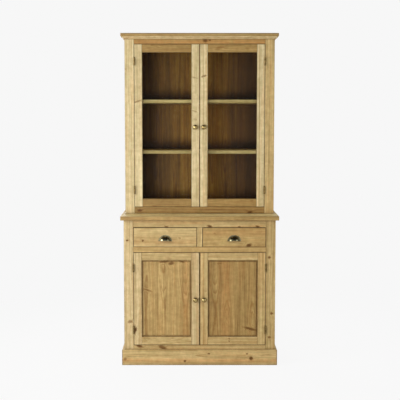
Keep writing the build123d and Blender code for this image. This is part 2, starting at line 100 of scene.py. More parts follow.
# Darker wood turns browner: each channel darkens by a power of its own
DEEPENING = (0.9, 1.05, 1.4)
# Tint of a back panel's inner face, a stain with painted shade, and the depth that marks that face
INSIDE_STAIN_AND_SHADE = (0.71, 0.49, 0.185)
INNER_FACE_DEPTH = -0.004
# Colour of old wax with painted shade, in nooks and on arrises
NOOK_WAX_AND_SHADE = "54370f"
# Colour of a panel's darker margin: dark wax with painted shade of its recess
MARGIN_WAX_AND_SHADE = "5e3f1c"
# Colour of dust with painted shade, on a top that faces away from the lamps
TOP_DUST_AND_SHADE = "6f6040"
KNOT_RIM = "97682c"
KNOT_HEART = "64400a"
NOOK_REACH = 0.014
ARRIS_REACH = 0.004


def turn_at_returns(put, run, depth):
    """Swaps length and depth on faces that look sideways, where a mitred trim runs back."""
    normal = put("SeparateXYZ", {0: put("NewGeometry").outputs["Normal"]})
    sideways = put("Math", {0: normal.outputs[X]}, operation="ABSOLUTE")
    is_return = put("Math", {0: sideways, 1: 0.7}, operation="GREATER_THAN")
    return (put("Mix", {0: is_return, 2: run, 3: depth}, data_type="FLOAT").outputs[0],
            put("Mix", {0: is_return, 2: depth, 3: run}, data_type="FLOAT").outputs[0])


def distance_from_pith(put, run, side, depth, strip, strip_start, pith, wander, seed):
    """How far a point lies from the heart of its tree, and three chances of its strip.

    Each strip of a glued board comes from another tree. The heart wanders along the board,
    which draws the arches of flat-sawn pine."""
    strips = put("Math", {0: put("Math", {0: side, 1: strip_start}, operation="SUBTRACT"), 1: strip},
                 operation="DIVIDE")
    index = put("Math", {0: strips}, operation="FLOOR")
    chance = put("TexWhiteNoise", {"W": put("Math", {0: index, 1: seed + 0.5}, operation="ADD")},
                 noise_dimensions="1D")
    chances = put("SeparateColor", {0: chance.outputs["Color"]})
    in_strip = put("Math", {0: put("Math", {0: strips, 1: index}, operation="SUBTRACT"), 1: 0.5},
                   operation="SUBTRACT")
    apart = put("Math", {0: chance.outputs["Value"], 1: 40.0}, operation="MULTIPLY")
    track = put("CombineXYZ", {0: run, 1: apart})
    sway = put("TexNoise", {"Vector": track, "Scale": 1.3, "Detail": 1.0, "Roughness": 0.4},
               noise_dimensions="2D")
    drift = put("SeparateColor", {0: sway.outputs["Color"]})
    offsets = []
    for axis, (middle, spread) in enumerate(((pith[0], 0.04), (pith[1], 0.02))):
        place = put("MapRange", {0: chances.outputs[axis], 3: middle - spread, 4: middle + spread})
        shift = put("MapRange", {0: drift.outputs[axis], 3: -wander, 4: wander})
        offsets.append(put("Math", {0: place, 1: shift}, operation="ADD"))
    from_side = put("Math", {0: in_strip, 1: strip, 2: offsets[0]}, operation="MULTIPLY_ADD")
    from_depth = put("Math", {0: depth, 1: offsets[1]}, operation="ADD")
    spot = put("CombineXYZ", {0: from_side, 1: from_depth})
    return put("VectorMath", {0: spot}, operation="LENGTH").outputs["Value"], chances


def knot_marks(put, run, side, knots):
    """The bend that knots give to the rings, and the dark of their cores."""
    flat_place = put("CombineXYZ", {0: run, 1: side})
    uneven = put("TexNoise", {"Vector": flat_place, "Scale": 110.0, "Detail": 1.0})
    place = put("VectorMath", {0: uneven.outputs["Color"], 1: (0.006, 0.006, 0), 2: flat_place},
                operation="MULTIPLY_ADD")
    bend = core = None
    for knot_run, knot_side, half_run, half_side, darkness in knots:
        turned = put("Mapping", {0: place, "Location": (knot_run + 0.003, knot_side + 0.003, 0),
                                 "Rotation": (0, 0, 0.35 * sin(900 * knot_run)),
                                 "Scale": (half_run, half_side, 1)}, vector_type="TEXTURE")
        distance = put("VectorMath", {0: turned}, operation="LENGTH").outputs["Value"]
        pull = put("MapRange", {0: distance, 1: 0.0, 2: 4.0, 3: 0.010 * darkness, 4: 0.0},
                   interpolation_type="SMOOTHERSTEP")
        dark = put("MapRange", {0: distance, 1: 0.6, 2: 2.1, 3: darkness, 4: 0.0},
                   interpolation_type="SMOOTHSTEP")
        bend = pull if bend is None else put("Math", {0: bend, 1: pull}, operation="ADD")
        core = dark if core is None else put("Math", {0: core, 1: dark}, operation="MAXIMUM")
    return bend, core


def margin_mask(put, run, side, opening, margin):
    """1 in the margin of a panel, 0 on its raised field; the opening is what the frame leaves free."""
    distances = []
    for place, (low, high) in zip((run, side), opening):
        centred = distance_from(put, place, (low + high) / 2)
        distances.append(put("Math", {0: centred, 1: (high - low) / 2 - margin}, operation="SUBTRACT"))
    outside = put("Math", {0: distances[0], 1: distances[1]}, operation="MAXIMUM")
    return put("MapRange", {0: outside, 1: -0.004, 2: 0.001}, interpolation_type="SMOOTHSTEP")


def painted_inside_shade(put, run, side, middle, near, far, darkest, floors):
    """Painted shade inside a back panel: 1 where unshaded, darkest towards its sides and just above each
    shelf, where stiles and shelves would shade it.
    """
    away = distance_from(put, side, middle)
    unshaded_share = put("MapRange", {0: away, 1: near, 2: far, 3: 1.0, 4: darkest}, interpolation_type="SMOOTHSTEP")
    for floor in floors:
        above = put("MapRange", {0: run, 1: floor, 2: floor + 0.09, 3: 0.15, 4: 1.0},
                    interpolation_type="SMOOTHSTEP")
        below = put("Math", {0: run, 1: floor - 0.012}, operation="LESS_THAN")
        free = put("Math", {0: above, 1: below}, operation="MAXIMUM")
        unshaded_share = put("Math", {0: unshaded_share, 1: free}, operation="MULTIPLY")
    return unshaded_share


def pine(name, tone, along, through, face=0.0, strip=0.09, strip_start=0.0, ring=0.0042, contrast=1.2,
         streaks=0.24, pith=(0.0, 0.04), wander=0.03, seed=0.0, red=0.35, knots=(), blush=None,
         turned=False, panel=None, top_wear_and_light=None, stain_and_painted_shade=None, nooks=0.85, strip_change=0.07,
         dust_and_shade_above=None):
    """Waxed pine, sawn and sanded: yearly rings of pale and amber wood, knots, fine fibre streaks.

    The pattern is solid, so faces and edges of a board agree. It follows real sizes in metres:
    ring is the width of a year's growth, strip that of the boards glued into a panel. A knot is
    (place along the grain, place across, half length, half width, darkness). A blush is a reddish
    band (place across, half width, strength). A panel's margin is darker, by dark wax and painted
    shade of its recess. A top is paler from wear and from painted light and sheen. Dust and painted
    shade darken it above a height. The inner face of a back panel takes a stain and painted shade,
    darkest to its sides and above its shelves (middle, near, far, darkest, heights of the shelves)."""
    material, put = new_material(name)
    across = 3 - along - through
    place = put("SeparateXYZ", {0: put("TexCoord").outputs["Object"]})
    run, side = place.outputs[along], place.outputs[across]
    depth = put("Math", {0: place.outputs[through], 1: face}, operation="SUBTRACT").outputs[0]
    if turned:
        run, depth = turn_at_returns(put, run, depth)
    radius, chances = distance_from_pith(put, run, side, depth, strip, strip_start, pith, wander, seed)

    # Noises stretched along the grain: ripples, broad bands and fibres, by cells per metre. Real
    # fibres are a tenth as wide; they are drawn about 6 mm wide so that they show in the render
    grain_place = put("CombineXYZ", {0: side, 1: depth, 2: run})
    ripple, bands, fibres = (
        put("TexNoise", {"Vector": put("Mapping", {0: grain_place, "Location": (seed, 0, 0), "Scale": scale}),
                         "Scale": 1.0, "Detail": detail, "Roughness": 0.55})
        for scale, detail in (((60, 60, 5), 2.0), ((46, 46, 1.4), 2.5), ((170, 170, 7), 3.0)))
    hues = put("SeparateColor", {0: bands.outputs["Color"]})

    # Rings: a slow change from pale spring wood to a thin amber line, then back at once
    bent = put("Math", {0: ripple, 1: 0.0035, 2: radius}, operation="MULTIPLY_ADD")
    core = None
    if knots:
        bend, core = knot_marks(put, run, side, knots)
        bent = put("Math", {0: bent, 1: bend}, operation="ADD")
    count = put("Math", {0: bent, 1: ring}, operation="DIVIDE")
    years = put("TexNoise", {"W": count, "Scale": 0.45, "Detail": 1.0}, noise_dimensions="1D")
    uneven_count = put("Math", {0: years, 1: 3.0, 2: count}, operation="MULTIPLY_ADD")
    phase = put("Math", {0: uneven_count}, operation="FRACT")
    rise = put("MapRange", {0: phase, 1: 0.35, 2: 0.9}, interpolation_type="SMOOTHSTEP")
    fall = put("MapRange", {0: phase, 1: 0.93, 2: 1.0, 3: 1.0, 4: 0.0})
    strength = put("MapRange", {0: years, 1: 0.25, 2: 0.75, 3: 0.3 * contrast, 4: contrast})
    ring_line = put("Math", {0: rise, 1: fall}, operation="MULTIPLY")
    amber = put("Math", {0: ring_line, 1: strength}, operation="MULTIPLY")

    # Colour: spring and summer wood, then reddish and greenish drifts of the heartwood
    wood = linear(tone)
    colour = blend(put, amber, shade(wood, (1.08, 1.10, 1.13)), shade(wood, (0.74, 0.62, 0.46)))
    red_share = put("MapRange", {0: hues.outputs[1], 1: 0.5, 2: 0.68, 3: 0.0, 4: red},
                    interpolation_type="SMOOTHSTEP")
    colour = blend(put, red_share, colour, shade(wood, (1.02, 0.78, 0.58)))
    if blush:
        blush_side, blush_half, blush_strength = blush
        away = distance_from(put, side, blush_side)
        wavy = put("Math", {0: hues.outputs[2], 1: -0.02, 2: away}, operation="MULTIPLY_ADD")
        share = put("MapRange", {0: wavy, 1: -0.01, 2: blush_half - 0.01, 3: blush_strength, 4: 0.0},
                    interpolation_type="SMOOTHSTEP")
        colour = blend(put, share, colour, shade(wood, (1.0, 0.70, 0.52)))
    band_light = put("MapRange", {0: hues.outputs[0], 1: 0.28, 2: 0.72, 3: 1 + streaks, 4: 1 - streaks})
    fibre_light = put("MapRange", {0: fibres, 1: 0.3, 2: 0.7, 3: 0.85, 4: 1.15})
    handled = put("TexNoise", {"Vector": grain_place, "Scale": 32.0, "Detail": 4.0, "Roughness": 0.6})
    blotches = put("SeparateColor", {0: handled.outputs["Color"]})
    blotch_light = put("MapRange", {0: blotches.outputs[0], 1: 0.35, 2: 0.65, 3: 0.88, 4: 1.12})
    strip_light = put("MapRange", {0: chances.outputs[2], 3: 1 - strip_change, 4: 1 + strip_change})
    light = put("Math", {0: band_light, 1: fibre_light}, operation="MULTIPLY")
    light = put("Math", {0: light, 1: strip_light}, operation="MULTIPLY")
    light = put("Math", {0: light, 1: blotch_light}, operation="MULTIPLY")
    green_share = put("MapRange", {0: blotches.outputs[1], 1: 0.5, 2: 0.7, 3: 0.0, 4: 0.5})
    colour = blend(put, green_share, colour, shade(wood, (0.94, 1.02, 0.92)))
    warm_light = put("VectorMath", {0: light, 1: DEEPENING}, operation="POWER")
    colour = put("VectorMath", {0: colour, 1: warm_light}, operation="MULTIPLY").outputs[0]
    # Painted shade and a stain on the inner face of a back panel: darker towards its sides and just above
    # each shelf
    if stain_and_painted_shade:
        dark = put("VectorMath", {0: painted_inside_shade(put, run, side, *stain_and_painted_shade), 1: DEEPENING}, operation="POWER")
        stain_and_shade = put("VectorMath", {0: dark, 1: INSIDE_STAIN_AND_SHADE}, operation="MULTIPLY")
        inside = put("Math", {0: depth, 1: INNER_FACE_DEPTH}, operation="LESS_THAN")
        darker = put("VectorMath", {0: colour, 1: stain_and_shade}, operation="MULTIPLY")
        colour = blend(put, inside, colour, darker)
    # Above a height the wood is darker: dust, and painted shade on the top board's upper edge and top, which
    # face away from the lamps
    if dust_and_shade_above:
        dust_and_shade_share = put("MapRange", {0: place.outputs[Z], 1: dust_and_shade_above[0], 2: dust_and_shade_above[1], 3: 0.0, 4: 0.55})
        colour = blend(put, dust_and_shade_share, colour, linear(TOP_DUST_AND_SHADE))
    if core is not None:
        rim = put("Math", {0: core, 1: 0.65}, operation="MULTIPLY")
        heart = put("Math", {0: core, 1: 2.0}, operation="POWER")
        colour = blend(put, rim, colour, linear(KNOT_RIM))
        colour = blend(put, heart, colour, linear(KNOT_HEART))
    # Faces that look up are paler: wear, and painted light and sheen from above
    if top_wear_and_light:
        normal = put("SeparateXYZ", {0: put("NewGeometry").outputs["Normal"]})
        upward = put("MapRange", {0: normal.outputs[Z], 1: 0.6, 2: 0.95})
        paler = put("VectorMath", {0: colour, 1: top_wear_and_light}, operation="MULTIPLY")
        colour = blend(put, upward, colour, paler)
    # The margin of a panel is darker: dark wax and painted shade of its recess
    if panel:
        darker_margin = put("Math", {0: margin_mask(put, run, side, *panel), 1: 0.15}, operation="MULTIPLY")
        colour = blend(put, darker_margin, colour, linear(MARGIN_WAX_AND_SHADE))

    # Old wax and dust, with painted shade, darken the nooks (by ambient occlusion) and the arrises: along
    # joints, gaps and mouldings
    nook = put("AmbientOcclusion", {"Distance": NOOK_REACH}, samples=6)
    arris = put("AmbientOcclusion", {"Distance": ARRIS_REACH}, samples=6, inside=True)
    in_nooks = put("MapRange", {0: nook.outputs["AO"], 1: 0.25, 2: 0.9, 3: nooks, 4: 0.0})
    on_arrises = put("MapRange", {0: arris.outputs["AO"], 1: 0.5, 2: 0.95, 3: 0.6, 4: 0.0})
    wax_and_painted_shade = put("Math", {0: in_nooks, 1: on_arrises}, operation="MAXIMUM")
    colour = blend(put, wax_and_painted_shade, colour, linear(NOOK_WAX_AND_SHADE))

    # Wax fills the soft wood less than the hard rings, which stand a little proud and shine more
    rough = put("MapRange", {0: amber, 3: 0.54, 4: 0.42})
    relief = put("Math", {0: amber, 1: 0.6, 2: fibres}, operation="MULTIPLY_ADD")
    bump = put("Bump", {"Strength": 0.25, "Distance": 0.0004, "Height": relief})
    surface = put("BsdfPrincipled", {"Base Color": colour, "Roughness": rough, "Specular IOR Level": 0.35,
                                     "Normal": bump})
    put("OutputMaterial", {"Surface": surface})
    return material


# Metal and glass

def aged_metal(name, bright, dull, rough_low, rough_high, patina_size):
    """Turned or cast metal under a thin dark patina, rubbed bright in clouds of patina_size metres."""
    material, put = new_material(name)
    place = put("TexCoord").outputs["Object"]
    cloud = put("TexNoise", {"Vector": place, "Scale": 1 / patina_size, "Detail": 2.0})
    fine = put("TexNoise", {"Vector": place, "Scale": 900.0, "Detail": 2.0})
    wear = put("MapRange", {0: cloud, 1: 0.35, 2: 0.65}, interpolation_type="SMOOTHSTEP")
    colour = blend(put, wear, linear(dull), linear(bright))
    rough = put("MapRange", {0: cloud, 1: 0.3, 2: 0.7, 3: rough_high, 4: rough_low})
    bump = put("Bump", {"Strength": 0.1, "Distance": 0.0002, "Height": fine})
    surface = put("BsdfPrincipled", {"Base Color": colour, "Metallic": 1.0, "Roughness": rough,
                                     "Normal": bump})
    put("OutputMaterial", {"Surface": surface})
    return material


def float_glass():
    """Clear float glass: nearly all light passes, with a faint tint and a weak mirror at a slant."""
    material, put = new_material("float_glass")
    clear = put("BsdfTransparent", {"Color": linear("f8fbf9")})
    mirror = put("BsdfGlossy", {"Color": linear("ffffff"), "Roughness": 0.02})
    facing = put("LayerWeight", {"Blend": 0.12})
    share = put("Math", {0: facing.outputs["Facing"], 1: 0.2, 2: 0.001}, operation="MULTIPLY_ADD")
    put("OutputMaterial", {"Surface": put("MixShader", {0: share, 1: clear, 2: mirror})})
    return material


brass = aged_metal("aged_brass", "b3a06c", "80693f", 0.24, 0.36, 0.012)
hinge_brass = aged_metal("tarnished_brass", "846f44", "544526", 0.34, 0.46, 0.012)
pewter = aged_metal("antique_pewter", "8a8468", "5b5640", 0.2, 0.3, 0.03)
zinc = aged_metal("zinc_plated_steel", "b9babb", "9c9d9e", 0.3, 0.42, 0.004)
glass = float_glass()


# Five tones of old pine; each board is given one

# Boards on the left are given paler tones than their right-hand twins: partly their own colour, partly
# painted light that falls from the left
PALEST = dict(tone="d8c494")
PALE = dict(tone="cfb684")
HONEY = dict(tone="c4a870")
AMBER = dict(tone="b4945a")
BROWN = dict(tone="a08048")

# Which board is cut how: its tone, grain, thickness, front face, glued strips and knots

UPRIGHT = dict(along=Z, through=Y)
LEVEL = dict(along=X, through=Y)
LYING = dict(along=X, through=Z)
STRAIGHT = dict(pith=(0.13, 0.05), wander=0.009)
BASE, HUTCH = dict(face=BASE_FACE), dict(face=HUTCH_FACE)
BAY_FLOORS = (0.945, 1.292, 1.602)
PANEL_GRIP, PANEL_MARGIN = 0.007, 0.008

boards = {
    "base_stile_left": dict(**PALE, **UPRIGHT, **BASE, **STRAIGHT, seed=3,
                            knots=[(0.758, -0.436, 0.004, 0.005, 1.0), (0.264, -0.419, 0.007, 0.010, 0.7)]),
    "base_stile_right": dict(**HONEY, **UPRIGHT, **BASE, **STRAIGHT, seed=8,
                             knots=[(0.655, 0.418, 0.006, 0.007, 0.9), (0.314, 0.434, 0.006, 0.007, 0.9),
                                    (0.168, 0.421, 0.005, 0.008, 0.8)]),
    "base_side_left": dict(**PALE, along=Z, through=X, face=-0.455, seed=11, strip=0.11),
    "base_side_right": dict(**HONEY, along=Z, through=X, face=0.437, seed=14, strip=0.11,
                            knots=[(0.52, 0.02, 0.008, 0.007, 1.0), (0.21, -0.1, 0.006, 0.005, 0.9)]),
    "base_top_rail": dict(**HONEY, **LEVEL, **BASE, **STRAIGHT, seed=21, red=0.6,
                          knots=[(0.061, 0.842, 0.012, 0.006, 1.0), (0.237, 0.840, 0.007, 0.004, 0.9),
                                 (0.347, 0.841, 0.010, 0.005, 1.0), (-0.199, 0.839, 0.009, 0.005, 1.0)]),
    "base_middle_rail": dict(**AMBER, **LEVEL, **BASE, **STRAIGHT, seed=22),
    "base_bottom_rail": dict(**HONEY, **LEVEL, **BASE, **STRAIGHT, seed=25,
                             knots=[(-0.364, 0.114, 0.016, 0.006, 1.0), (-0.225, 0.106, 0.020, 0.008, 0.9)]),
    "drawer_muntin": dict(**HONEY, **UPRIGHT, **BASE, **STRAIGHT, seed=27),
    "base_floor": dict(**AMBER, **LYING, seed=31),
    "base_shelf": dict(**AMBER, **LYING, seed=32),
    "base_back": dict(**AMBER, **UPRIGHT, seed=33, strip=0.12),
    "drawer_runners": dict(**AMBER, along=Y, through=Z, seed=34),
    "worktop": dict(**AMBER, **LYING, face=0.88, seed=41, top_wear_and_light=(1.6, 1.95, 2.6),
                    knots=[(-0.2, 0.02, 0.009, 0.007, 0.9), (0.33, 0.13, 0.007, 0.006, 0.9)]),
    "plinth": dict(**HONEY, **LEVEL, **BASE, seed=43, turned=True, blush=(0.030, 0.020, 0.6),
                   knots=[(-0.450, 0.037, 0.007, 0.007, 0.7), (-0.089, 0.025, 0.006, 0.005, 1.0),
                          (0.056, 0.070, 0.006, 0.004, 0.9), (0.286, 0.070, 0.005, 0.004, 0.8),
                          (0.311, 0.042, 0.009, 0.009, 1.0)]),
    "hutch_side_left": dict(**PALE, along=Z, through=X, face=-0.455, seed=51, strip=0.1),
    "hutch_side_right": dict(**HONEY, along=Z, through=X, face=0.437, seed=52, strip=0.1,
                             knots=[(1.45, 0.05, 0.008, 0.006, 0.9)]),
    "hutch_stile_left": dict(**PALEST, **UPRIGHT, **HUTCH, **STRAIGHT, seed=53,
                             knots=[(1.786, -0.452, 0.005, 0.005, 0.4)]),
    "hutch_stile_right": dict(**HONEY, **UPRIGHT, **HUTCH, **STRAIGHT, seed=54),
    "hutch_frieze_rail": dict(**AMBER, **LEVEL, **HUTCH, seed=55, red=0.6, blush=(1.945, 0.014, 0.5),
                              knots=[(0.034, 1.958, 0.011, 0.009, 1.0), (0.061, 1.959, 0.006, 0.004, 1.0)]),
    "hutch_bottom_rail": dict(**BROWN, **LEVEL, **HUTCH, **STRAIGHT, seed=56,
                              knots=[(-0.367, 0.924, 0.012, 0.006, 1.0), (0.309, 0.912, 0.013, 0.008, 1.0)]),
    "hutch_floor": dict(**BROWN, **LYING, seed=57),
    "hutch_shelves": dict(**HONEY, **LYING, seed=58),
    "hutch_back": dict(**AMBER, **UPRIGHT, face=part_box("hutch_back")[1].y, seed=59, strip=0.12,
                       streaks=0.45, contrast=1.5, stain_and_painted_shade=(-0.04, 0.08, 0.36, 0.2, BAY_FLOORS)),
    "hutch_top": dict(**AMBER, **LYING, face=1.982, seed=61, dust_and_shade_above=(1.990, 1.996)),
    "cornice": dict(**PALE, **LEVEL, **HUTCH, seed=62, turned=True),
}
for side, sign in SIDES:
    left = side == "left"
    panel_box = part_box(f"base_door_{side}_panel")
    opening = [(panel_box[0][axis] + PANEL_GRIP, panel_box[1][axis] - PANEL_GRIP) for axis in (Z, X)]
    boards[f"hutch_door_{side}_stiles"] = dict(
        **PALEST, **UPRIGHT, **HUTCH, **STRAIGHT, seed=71 if left else 72,
        knots=[(1.590, -0.378, 0.004, 0.020, 0.65), (1.734, -0.031, 0.003, 0.015, 0.5),
               (1.531, -0.031, 0.003, 0.014, 0.5), (1.482, -0.025, 0.004, 0.009, 0.3)]
        if left else [(1.743, 0.026, 0.004, 0.014, 0.7)])
    boards[f"hutch_door_{side}_rails"] = dict(
        **BROWN, **LEVEL, **HUTCH, seed=73 if left else 74,
        knots=[] if left else [(0.120, 1.912, 0.020, 0.007, 0.5), (0.29, 1.910, 0.010, 0.006, 0.5)])
    boards[f"hutch_door_{side}_beads"] = dict(**HONEY, **UPRIGHT, **HUTCH, seed=75)
    boards[f"base_door_{side}_stiles"] = dict(
        **(PALE if left else HONEY), **UPRIGHT, **BASE, **STRAIGHT, seed=76 if left else 77, nooks=0.6,
        knots=[(0.212, -0.389, 0.013, 0.007, 1.0)] if left else [(0.45, 0.036, 0.004, 0.006, 0.4)])
    boards[f"base_door_{side}_rails"] = dict(
        **HONEY, **LEVEL, **BASE, seed=78 if left else 79, nooks=0.6,
        knots=[(-0.315, 0.162, 0.016, 0.006, 0.4), (-0.19, 0.652, 0.014, 0.006, 0.35)] if left else
              [(0.179, 0.160, 0.004, 0.004, 0.7), (0.179, 0.143, 0.004, 0.004, 0.7)])
    boards[f"base_door_{side}_panel"] = dict(
        **(AMBER if left else BROWN), **UPRIGHT, **BASE, seed=81 if left else 82,
        panel=(opening, PANEL_MARGIN), nooks=0.2, strip_change=0.12, strip=0.10,
        strip_start=-0.2505 if left else 0.0270,
        blush=(-0.085, 0.03, 0.4) if left else (0.155, 0.06, 0.45),
        knots=[(0.455, -0.312, 0.004, 0.022, 0.7), (0.619, -0.171, 0.008, 0.014, 0.9),
               (0.628, -0.215, 0.005, 0.022, 0.8), (0.630, -0.110, 0.004, 0.016, 0.8)] if left else
              [(0.219, 0.306, 0.006, 0.032, 0.95), (0.618, 0.120, 0.004, 0.012, 0.6)])
    boards[f"drawer_{side}_front"] = dict(
        **(HONEY if left else AMBER), **LEVEL, **BASE, seed=83 if left else 84, streaks=0.15, contrast=0.6,
        blush=(0.748, 0.03, 0.4) if left else (0.80, 0.03, 0.3),
        knots=[(-0.341, 0.757, 0.005, 0.005, 1.0), (-0.12, 0.772, 0.006, 0.004, 0.5)] if left else
              [(0.295, 0.728, 0.013, 0.008, 1.0), (0.09, 0.80, 0.006, 0.004, 0.5)])
    boards[f"drawer_{side}_sides"] = dict(**PALE, along=Y, through=X, seed=85)
    boards[f"drawer_{side}_back"] = dict(**PALE, **LEVEL, seed=86)
    boards[f"drawer_{side}_bottom"] = dict(**PALE, **LYING, seed=87)

others = {"hinge_frame_leaves": hinge_brass, "shelf_pegs": zinc, "door_catches": zinc}
for side, _ in SIDES:
    others[f"hutch_door_{side}_glass"] = glass
    others[f"drawer_{side}_cup_pull"] = pewter
    for part in ("hutch_door", "base_door"):
        others[f"{part}_{side}_knob"] = brass
        others[f"{part}_{side}_hinge_leaves"] = hinge_brass


ARRIS = 0.0008
SHARP_MITRES = ("plinth", "cornice")


def ease_arrises(node):
    """Rounds the sharp edges of a board as sanding does."""
    weld = node.modifiers.new("weld", "WELD")
    weld.merge_threshold = 0.00001
    flat = node.modifiers.new("flat_faces", "DECIMATE")
    flat.decimate_type = "DISSOLVE"
    flat.angle_limit = radians(1)
    bevel = node.modifiers.new("sanded_arrises", "BEVEL")
    bevel.width = ARRIS
    bevel.segments = 2
    bevel.limit_method = "ANGLE"
    bevel.angle_limit = radians(35)
    normals = node.modifiers.new("even_normals", "WEIGHTED_NORMAL")
    normals.keep_sharp = True
    normals.weight = 100


for name, cut in boards.items():
    nodes[name].data.materials.clear()
    nodes[name].data.materials.append(pine("pine_" + name, **cut))
    if name not in SHARP_MITRES:
        ease_arrises(nodes[name])
for name, material in others.items():
    nodes[name].data.materials.clear()
    nodes[name].data.materials.append(material)


# Small hardware that the solids leave out

def turned_head(radius, height, slotted):
    """The mesh of a turned head, a little domed; its slot is cut by lowering a narrow strip."""
    bm = bmesh.new()
    profile = ((0, 1.0), (0.45, 0.98), (0.75, 0.9), (0.92, 0.68), (1.0, 0.3), (1.0, 0.0))
    points = [bm.verts.new((share * radius, 0, rise * height)) for share, rise in profile]
    edges = [bm.edges.new(pair) for pair in zip(points, points[1:])]
    bmesh.ops.spin(bm, geom=points + edges, cent=(0, 0, 0), axis=(0, 0, 1), angle=2 * pi, steps=24,
                   use_merge=True)
    bmesh.ops.remove_doubles(bm, verts=bm.verts, dist=1e-6)
    if slotted:
        half, wall = 0.13 * radius, 0.02 * radius
        for offset in (-half - wall, -half, half, half + wall):
            bmesh.ops.bisect_plane(bm, geom=bm.verts[:] + bm.edges[:] + bm.faces[:],
                                   plane_co=(0, offset, 0), plane_no=(0, 1, 0))
        for vert in bm.verts:
            if abs(vert.co.y) < half + wall / 2:
                vert.co.z = min(vert.co.z, 0.35 * height)
    bmesh.ops.recalc_face_normals(bm, faces=bm.faces)
    for face in bm.faces:
        face.smooth = True
    mesh = bpy.data.meshes.new("head")
    bm.to_mesh(mesh)
    bm.free()
    return mesh


HINGE_SCREW = turned_head(0.0028, 0.00011, True)
PAN_SCREW = turned_head(0.004, 0.0022, True)
PLATE_SCREW = turned_head(0.0022, 0.0001, True)
NAIL = turned_head(0.0024, 0.0004, False)


def put_head(bm, head, place, direction, slot_turn=0.0):
    """Adds a head to a piece's mesh, facing a direction."""
    turn = Vector(direction).to_track_quat("Z", "Y").to_matrix().to_4x4()
    placed = head.copy()
    placed.transform(Matrix.Translation(place) @ turn @ Matrix.Rotation(slot_turn, 4, "Z"))
    bm.from_mesh(placed)
    bpy.data.meshes.remove(placed)


def put_plate(bm, low, high):
    """Adds a thin plate with rounded corners and edges to a piece's mesh."""
    made = bmesh.ops.create_cube(bm, size=1.0)["verts"]
    low, high = Vector(low), Vector(high)
    size, middle = high - low, (low + high) / 2
    bmesh.ops.transform(bm, matrix=Matrix.Translation(middle) @ Matrix.Diagonal((*size, 1)), verts=made)
    corners = [edge for edge in bm.edges if edge.verts[0] in made
               and abs(edge.verts[0].co.y - edge.verts[1].co.y) > 0.5 * size.y]
    bmesh.ops.bevel(bm, geom=corners, offset=0.002, segments=4, affect="EDGES")


def new_piece(name, bm, material, body):
    """Turns a mesh into a piece that rides on a body."""
    mesh = bpy.data.meshes.new(name)
    bm.to_mesh(mesh)
    bm.free()
    mesh.materials.append(material)
    piece = bpy.data.objects.new(name, mesh)
    bpy.context.scene.collection.objects.link(piece)
    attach(piece, body)


KNUCKLE_RADIUS, LEAF_GAP, LEAF_HALF = 0.004, 0.0003, 0.025
HINGE_SCREWS = ((-0.018, 0.006), (0.0, 0.0125), (0.018, 0.006))
CATCH_X, CATCH_DROP, CATCH_REAR = 0.060, 0.009, 0.036
STRIKE_HALF_WIDTH, STRIKE_HALF_HEIGHT, STRIKE_SUNK, STRIKE_PROUD = 0.017, 0.006, 0.0005, 0.00012
CATCH_SCREW_OFFSETS = (-0.0115, 0.0115)
PULL_SCREW_OFFSETS = (-0.025, 0.025)
NAIL_PITCH, NAIL_INSET = 0.13, 0.005
FLOOR_NAIL_PLACES = [-0.36 + 0.12 * step for step in range(7)]
RAIL_OF = {"hutch_door": "hutch_frieze_rail", "base_door": "base_middle_rail"}

frame_screws = bmesh.new()
catch_screws = bmesh.new()
for part, rail in RAIL_OF.items():
    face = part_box(rail)[0].y
    rail_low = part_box(rail)[0].z
    for side, sign in SIDES:
        # Hinge screws: three in each leaf, seen when the door stands open
        leaf_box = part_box(f"{part}_{side}_hinge_leaves")
        outer_x = leaf_box[0].x if sign < 0 else leaf_box[1].x
        axis_x = outer_x - sign * KNUCKLE_RADIUS
        door_screws = bmesh.new()
        for height in (leaf_box[0].z + LEAF_HALF, leaf_box[1].z - LEAF_HALF):
            for index, (rise, depth) in enumerate(HINGE_SCREWS):
                for bm, toward in ((door_screws, sign), (frame_screws, -sign)):
                    place = (axis_x - toward * LEAF_GAP / 2, face + depth, height + rise)
                    put_head(bm, HINGE_SCREW, place, (toward, 0, 0), 0.9 * index + 40 * height)
        new_piece(f"{part}_{side}_hinge_screws", door_screws, hinge_brass, f"{part}_{side}")

        # Strike plate on the door's back, opposite the nose of the catch
        strike = bmesh.new()
        back = face + DOOR_THICKNESS
        catch_x = sign * CATCH_X
        middle = rail_low - CATCH_DROP
        upper_hinge = leaf_box[1].z - LEAF_HALF
        put_plate(strike, (catch_x - STRIKE_HALF_WIDTH, back - STRIKE_SUNK, middle - STRIKE_HALF_HEIGHT),
                  (catch_x + STRIKE_HALF_WIDTH, back + STRIKE_PROUD, middle + STRIKE_HALF_HEIGHT))
        for offset in CATCH_SCREW_OFFSETS:
            plate_place = (catch_x + offset, back + STRIKE_PROUD, middle)
            catch_place = (catch_x + offset, face + CATCH_REAR, rail_low + CATCH_DROP)
            put_head(strike, PLATE_SCREW, plate_place, (0, 1, 0), offset * 99)
            put_head(catch_screws, PAN_SCREW, catch_place, (0, 1, 0), offset * 70 + upper_hinge)
        new_piece(f"{part}_{side}_strike_plate", strike, zinc, f"{part}_{side}")
new_piece("frame_hinge_screws", frame_screws, hinge_brass, "carcass")
new_piece("catch_screws", catch_screws, zinc, "carcass")

# Two screws through each drawer front hold its cup pull
for side, sign in SIDES:
    low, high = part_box(f"drawer_{side}_cup_pull")
    pull_screws = bmesh.new()
    middle = (low + high) / 2
    for offset in PULL_SCREW_OFFSETS:
        place = (middle.x + offset, BASE_FACE + DRAWER_FRONT_THICKNESS, middle.z)
        put_head(pull_screws, PAN_SCREW, place, (0, 1, 0), 31 * offset + sign)
    new_piece(f"drawer_{side}_pull_screws", pull_screws, zinc, f"drawer_{side}")

